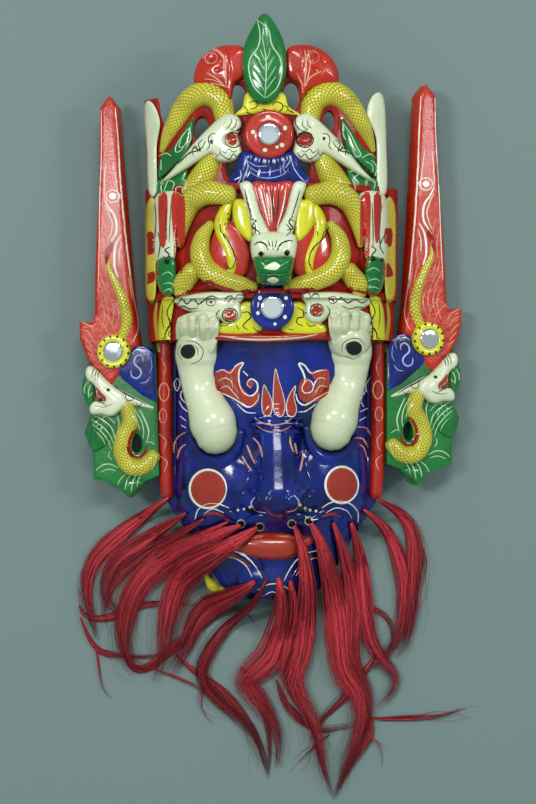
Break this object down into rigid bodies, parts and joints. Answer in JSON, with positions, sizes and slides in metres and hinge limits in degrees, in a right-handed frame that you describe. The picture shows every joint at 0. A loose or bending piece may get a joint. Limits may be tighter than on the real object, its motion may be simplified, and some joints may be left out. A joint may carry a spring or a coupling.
{
  "type": "opera mask",
  "caption": "Carved and painted wooden opera mask with a pierced dragon helmet, ear wings, small mirrors and a beard of dyed hair, hollow at the back.",
  "frame": {"origin": "on the surface that the mask lies on, under the middle of its bounding box", "axes": "+Y from the beard up to the crown, +Z out of the face, +X to the viewer's right"},
  "size_m": [0.3318, 0.668, 0.1443],
  "materials": {
    "painted_wood": "gloss enamel on carved wood, many colours",
    "wing_wood": "gloss enamel on carved wood, many colours",
    "mirror_glass": "small round glass mirror",
    "dyed_hair": "dyed hair or fibre, crimson"
  },
  "bodies": {
    "root": {"mask_body": "painted_wood", "wing_left": "wing_wood", "wing_right": "wing_wood", "mirror_crown": "mirror_glass", "mirror_brow": "mirror_glass", "mirror_wing_left": "mirror_glass", "mirror_wing_right": "mirror_glass", "hair_left_outer": "dyed_hair", "hair_left_cheek": "dyed_hair", "hair_left_lip": "dyed_hair", "hair_left_inner": "dyed_hair", "hair_chin_left": "dyed_hair", "hair_chin_sweep": "dyed_hair", "hair_chin_middle": "dyed_hair", "hair_chin_right": "dyed_hair", "hair_right_inner": "dyed_hair", "hair_right_lip": "dyed_hair", "hair_right_mid": "dyed_hair", "hair_right_cheek": "dyed_hair", "hair_right_outer": "dyed_hair", "hair_right_edge": "dyed_hair"}
  },
  "joints": []
}
